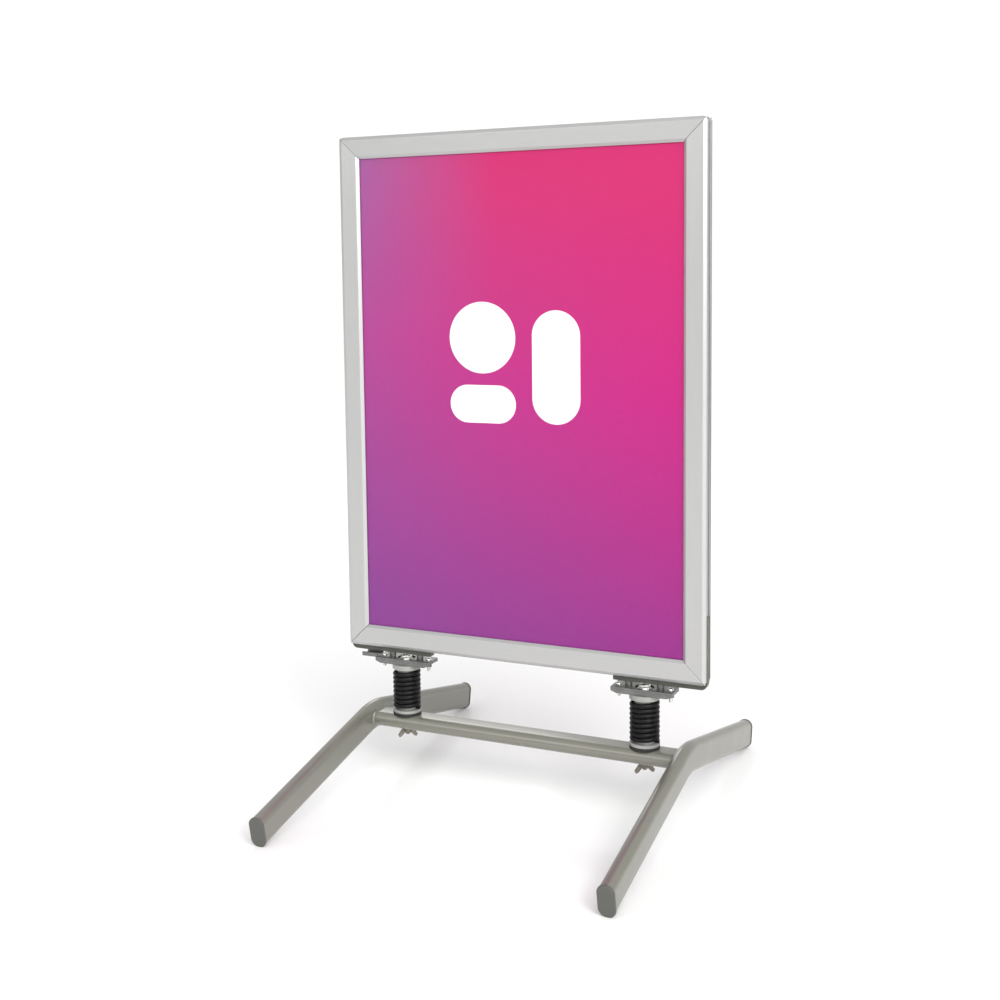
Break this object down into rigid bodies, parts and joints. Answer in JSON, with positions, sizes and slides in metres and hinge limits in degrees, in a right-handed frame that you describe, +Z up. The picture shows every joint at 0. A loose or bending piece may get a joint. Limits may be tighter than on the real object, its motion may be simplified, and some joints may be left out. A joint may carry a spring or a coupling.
{
  "type": "sprung pavement sign",
  "caption": "Double-sided snap-frame poster sign on two coil springs over a bent flat-oval tube base, with hinged snap covers.",
  "frame": {"origin": "on the ground, under the middle of the base", "axes": "+Z up the sign, X along the sign's width, -Y towards the front face"},
  "size_m": [0.65, 0.7878, 1.128],
  "materials": {
    "base_powder_coat": "satin grey powder coat",
    "end_cap_plastic": "moulded grey plastic",
    "rubber": "matt black",
    "spring_black": "black coated spring steel",
    "plug_alloy": "light grey, machined face",
    "shoe_dark": "dark olive grey",
    "zinc_yellow": "dull zinc plate",
    "anodised": "satin silver anodised",
    "key_alloy": "mill finish",
    "panel_white": "white sheet",
    "poster_print": "printed sheet, pink to purple",
    "clear_cover": "clear, glossy",
    "leaf_steel": "bright spring steel",
    "zinc_plate": "dull zinc plate",
    "bright_fastener": "bright zinc"
  },
  "bodies": {
    "base": {"left_leg": "base_powder_coat", "right_leg": "base_powder_coat", "cross_tube": "base_powder_coat", "weld_beads": "base_powder_coat", "left_front_cap": "end_cap_plastic", "left_rear_cap": "end_cap_plastic", "right_front_cap": "end_cap_plastic", "right_rear_cap": "end_cap_plastic", "rubber_base_ring_left": "rubber", "lower_spring_plug_left": "plug_alloy", "base_bolt_left": "zinc_yellow", "coil_spring_left": "spring_black", "rubber_base_ring_right": "rubber", "lower_spring_plug_right": "plug_alloy", "base_bolt_right": "zinc_yellow", "coil_spring_right": "spring_black"},
    "washer_left": {"base_washer_left": "zinc_yellow"},
    "nut_left": {"wing_nut_left": "zinc_yellow"},
    "washer_right": {"base_washer_right": "zinc_yellow"},
    "nut_right": {"wing_nut_right": "zinc_yellow"},
    "sign_head": {"backing_panel_front": "panel_white", "backing_panel_rear": "panel_white", "clamp_bolts": "bright_fastener", "clamp_nuts": "bright_fastener", "clear_sheet_front": "clear_cover", "clear_sheet_rear": "clear_cover", "corner_keys": "key_alloy", "corner_shoe_left": "shoe_dark", "corner_shoe_right": "shoe_dark", "fixing_strips": "bright_fastener", "frame_rail_bottom": "anodised", "frame_rail_left": "anodised", "frame_rail_right": "anodised", "frame_rail_top": "anodised", "frame_screws": "bright_fastener", "head_plate_left": "zinc_plate", "head_plate_right": "zinc_plate", "poster_front": "poster_print", "poster_rear": "poster_print", "shoe_screws": "bright_fastener", "snap_springs_front": "leaf_steel", "snap_springs_rear": "leaf_steel", "spacer_bushes": "bright_fastener", "spring_bracket_left": "zinc_plate", "spring_bracket_right": "zinc_plate", "top_bolt_left": "bright_fastener", "top_bolt_right": "bright_fastener", "top_washer_left": "bright_fastener", "top_washer_right": "bright_fastener", "upper_spring_plug_left": "plug_alloy", "upper_spring_plug_right": "plug_alloy"},
    "front_cover_bottom": {"front_cover_bottom": "anodised"},
    "front_cover_top": {"front_cover_top": "anodised"},
    "front_cover_left": {"front_cover_left": "anodised"},
    "front_cover_right": {"front_cover_right": "anodised"},
    "rear_cover_bottom": {"rear_cover_bottom": "anodised"},
    "rear_cover_top": {"rear_cover_top": "anodised"},
    "rear_cover_left": {"rear_cover_left": "anodised"},
    "rear_cover_right": {"rear_cover_right": "anodised"}
  },
  "joints": [
    {"name": "head_sway", "type": "hinge", "parent": "base", "child": "sign_head", "pos_m": [0, 0, 0.1585], "axis": [1, 0, 0], "range_deg": [-25, 25], "stiffness_Nm_per_rad": 160, "deforming": ["coil_spring_left", "coil_spring_right"]},
    {"name": "washer_left_drop", "type": "slide", "parent": "base", "child": "washer_left", "axis": [0, 0, -1], "range_m": [0, 0.005]},
    {"name": "wing_nut_left_turn", "type": "hinge", "parent": "washer_left", "child": "nut_left", "pos_m": [-0.219, 0, 0.08], "axis": [0, 0, -1], "range_deg": [0, 1440]},
    {"name": "washer_right_drop", "type": "slide", "parent": "base", "child": "washer_right", "axis": [0, 0, -1], "range_m": [0, 0.005]},
    {"name": "wing_nut_right_turn", "type": "hinge", "parent": "washer_right", "child": "nut_right", "pos_m": [0.219, 0, 0.08], "axis": [0, 0, -1], "range_deg": [0, 1440]},
    {"name": "front_bottom_open", "type": "hinge", "parent": "sign_head", "child": "front_cover_bottom", "pos_m": [0, -0.012, 0.2336], "axis": [1, 0, 0], "range_deg": [0, 90]},
    {"name": "front_top_open", "type": "hinge", "parent": "sign_head", "child": "front_cover_top", "pos_m": [0, -0.012, 1.1254], "axis": [-1, 0, 0], "range_deg": [0, 90]},
    {"name": "front_left_open", "type": "hinge", "parent": "sign_head", "child": "front_cover_left", "pos_m": [-0.3224, -0.012, 0.6795], "axis": [0, 0, -1], "range_deg": [0, 90]},
    {"name": "front_right_open", "type": "hinge", "parent": "sign_head", "child": "front_cover_right", "pos_m": [0.3224, -0.012, 0.6795], "axis": [0, 0, 1], "range_deg": [0, 90]},
    {"name": "rear_bottom_open", "type": "hinge", "parent": "sign_head", "child": "rear_cover_bottom", "pos_m": [0, 0.012, 0.2336], "axis": [-1, 0, 0], "range_deg": [0, 90]},
    {"name": "rear_top_open", "type": "hinge", "parent": "sign_head", "child": "rear_cover_top", "pos_m": [0, 0.012, 1.1254], "axis": [1, 0, 0], "range_deg": [0, 90]},
    {"name": "rear_left_open", "type": "hinge", "parent": "sign_head", "child": "rear_cover_left", "pos_m": [-0.3224, 0.012, 0.6795], "axis": [0, 0, 1], "range_deg": [0, 90]},
    {"name": "rear_right_open", "type": "hinge", "parent": "sign_head", "child": "rear_cover_right", "pos_m": [0.3224, 0.012, 0.6795], "axis": [0, 0, -1], "range_deg": [0, 90]}
  ],
  "couplings": [
    {"joint": "wing_nut_left_turn", "follows": "washer_left_drop", "rad_per_m": 5026.5},
    {"joint": "wing_nut_right_turn", "follows": "washer_right_drop", "rad_per_m": 5026.5}
  ]
}
